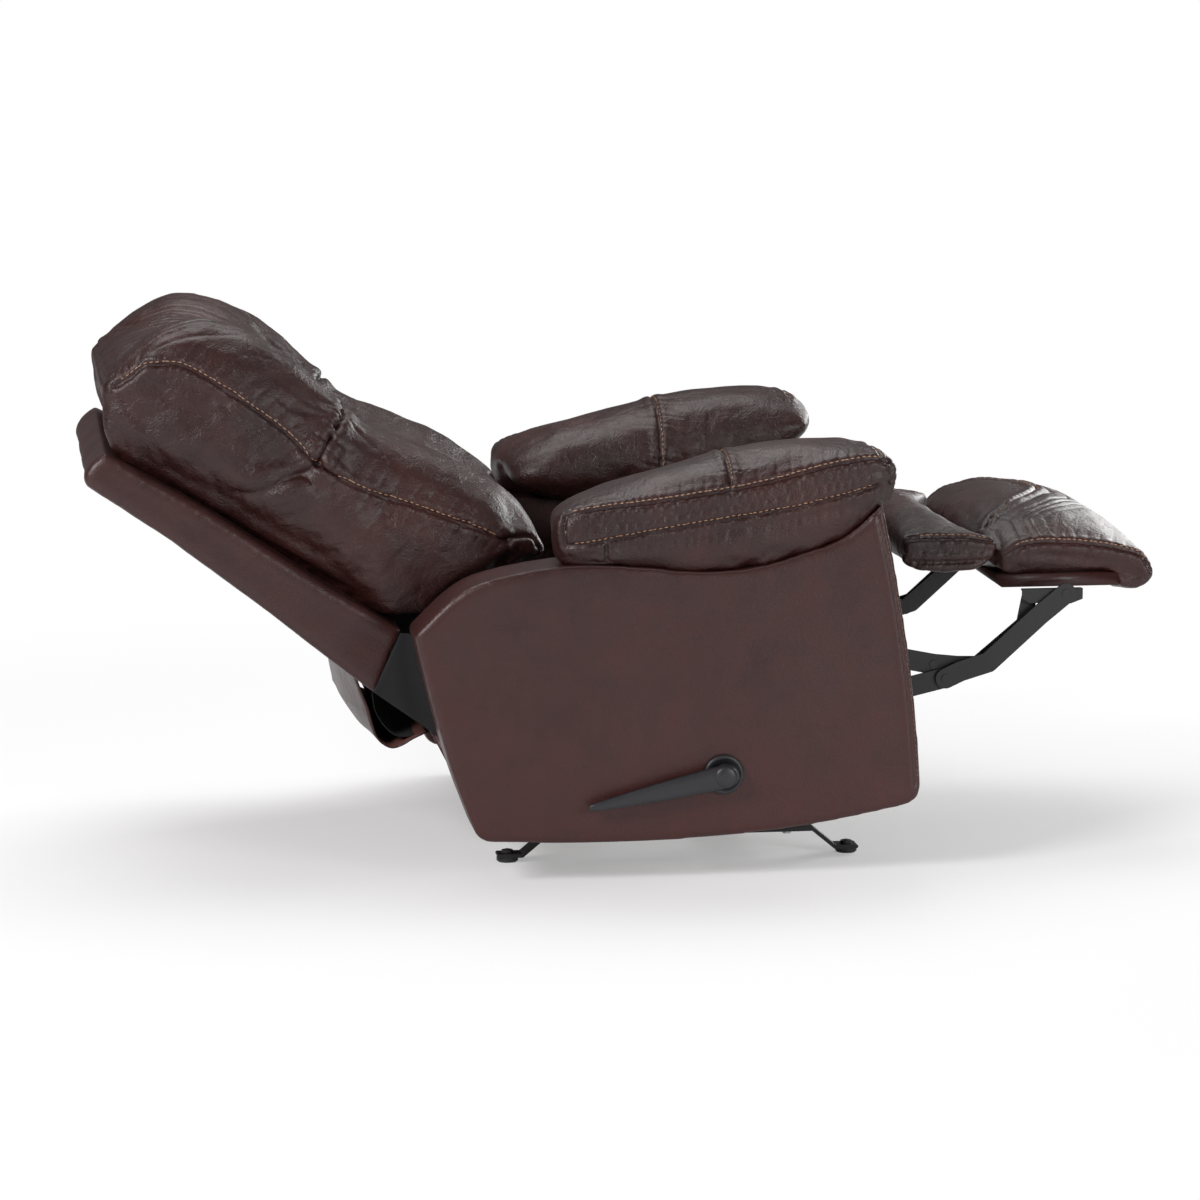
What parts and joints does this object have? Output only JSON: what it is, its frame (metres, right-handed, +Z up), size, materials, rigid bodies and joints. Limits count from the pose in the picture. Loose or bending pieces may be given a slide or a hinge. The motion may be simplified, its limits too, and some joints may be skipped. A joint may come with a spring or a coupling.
{
  "type": "recliner armchair",
  "caption": "Rocker recliner armchair with padded arms, reclining back, folding footrest on scissor links and a side release lever, shown reclined.",
  "frame": {"origin": "on the floor under the middle of the reclined chair's bounding box", "axes": "+X forwards towards the footrest, +Y to the sitter's left, +Z up"},
  "size_m": [1.6794, 0.9525, 0.8501],
  "materials": {
    "leather": "satin pebbled",
    "frame_wood": "unfinished",
    "black_plastic": "matte moulded",
    "dust_cloth": "woven",
    "spring_steel": "oiled",
    "zinc_steel": "zinc plated",
    "black_steel": "black enamel"
  },
  "bodies": {
    "base": {"base_rail_right": "black_steel", "base_rail_left": "black_steel", "spring_shelves": "black_steel", "base_cross_members": "black_steel", "glide_feet": "black_plastic", "base_bolts": "zinc_steel", "rocker_springs": "spring_steel"},
    "body": {"arm_cover_right": "leather", "arm_cover_left": "leather", "arm_frame_right": "frame_wood", "arm_frame_left": "frame_wood", "arm_pad_right": "leather", "arm_pad_left": "leather", "rockers": "frame_wood", "body_sills": "frame_wood", "glide_tracks": "black_steel", "spring_hangers": "black_steel", "body_rail_middle": "frame_wood", "body_rail_rear": "frame_wood", "arm_bolts": "zinc_steel", "rear_panel": "leather", "handle_plate": "black_plastic"},
    "handle": {"handle_lever": "black_plastic", "drive_tube": "black_steel"},
    "carriage": {"side_plate_right": "black_steel", "side_plate_left": "black_steel", "seat_frame_side_right": "frame_wood", "seat_frame_side_left": "frame_wood", "seat_frame_front": "frame_wood", "seat_frame_rear": "frame_wood", "carriage_tubes": "black_steel", "link_pivot_studs": "black_steel", "back_hinge_pins": "black_steel", "glide_rollers": "black_steel", "seat_brackets": "black_steel", "seat_springs": "spring_steel", "seat_cushion": "leather", "rear_skirt": "leather", "dust_cover": "dust_cloth"},
    "back": {"outer_back": "leather", "back_posts": "frame_wood", "back_rails": "frame_wood", "back_straps": "dust_cloth", "back_brackets": "black_steel", "lumbar_cushion": "leather", "head_cushion": "leather"},
    "lower_links": {"lower_link_right": "black_steel", "lower_link_left": "black_steel", "lower_link_rivets": "black_steel"},
    "long_links": {"long_link_right": "black_steel", "long_link_left": "black_steel"},
    "footrest": {"footrest_brackets": "black_steel", "footrest_rivets": "black_steel", "footrest_board": "frame_wood", "footrest_cushion": "leather"},
    "upper_links": {"upper_links": "black_steel", "upper_link_rivets": "black_steel"},
    "short_links": {"short_links": "black_steel"},
    "chaise": {"chaise_pad": "leather"}
  },
  "joints": [
    {"name": "rock", "type": "hinge", "parent": "base", "child": "body", "pos_m": [0.09, 0, 0.0467], "axis": [0, 1, 0], "range_deg": [-2.5, 10], "stiffness_Nm_per_rad": 900, "deforming": ["rocker_springs"]},
    {"name": "seat_glide", "type": "slide", "parent": "body", "child": "carriage", "axis": [-0.9763, 0, -0.2164], "range_m": [0, 0.046]},
    {"name": "back_recline", "type": "hinge", "parent": "carriage", "child": "back", "pos_m": [-0.3, 0, 0.312], "axis": [0, 1, 0], "range_deg": [0, 34]},
    {"name": "footrest", "type": "hinge", "parent": "carriage", "child": "lower_links", "pos_m": [0.33, 0, 0.24], "axis": [0, 1, 0], "range_deg": [0, 148.83]},
    {"name": "long_link", "type": "hinge", "parent": "lower_links", "child": "long_links", "pos_m": [0.506, 0, 0.281], "axis": [0, 1, 0], "range_deg": [-151.64, 0]},
    {"name": "footrest_tilt", "type": "hinge", "parent": "long_links", "child": "footrest", "pos_m": [0.697, 0, 0.412], "axis": [0, 1, 0], "range_deg": [0, 86.81]},
    {"name": "upper_link", "type": "hinge", "parent": "carriage", "child": "upper_links", "pos_m": [0.3154, 0, 0.337], "axis": [0, 1, 0], "range_deg": [0, 102.51]},
    {"name": "short_link", "type": "hinge", "parent": "upper_links", "child": "short_links", "pos_m": [0.489, 0, 0.302], "axis": [0, 1, 0], "range_deg": [-115.41, 0]},
    {"name": "chaise_fold", "type": "hinge", "parent": "carriage", "child": "chaise", "pos_m": [0.4415, 0, 0.443], "axis": [0, 1, 0], "range_deg": [0, 84.01]},
    {"name": "handle", "type": "hinge", "parent": "body", "child": "handle", "pos_m": [0.129, 0, 0.168], "axis": [0, 1, 0], "range_deg": [0, 148.84]}
  ],
  "couplings": [
    {"joint": "seat_glide", "follows": "back_recline", "m_per_rad": 0.077517},
    {"joint": "long_link", "follows": "footrest", "ratio": -1.0188},
    {"joint": "footrest_tilt", "follows": "footrest", "ratio": 0.5832},
    {"joint": "upper_link", "follows": "footrest", "ratio": 0.68869},
    {"joint": "short_link", "follows": "footrest", "ratio": -0.77536},
    {"joint": "chaise_fold", "follows": "footrest", "ratio": 0.5644},
    {"joint": "handle", "follows": "footrest", "ratio": 1}
  ]
}
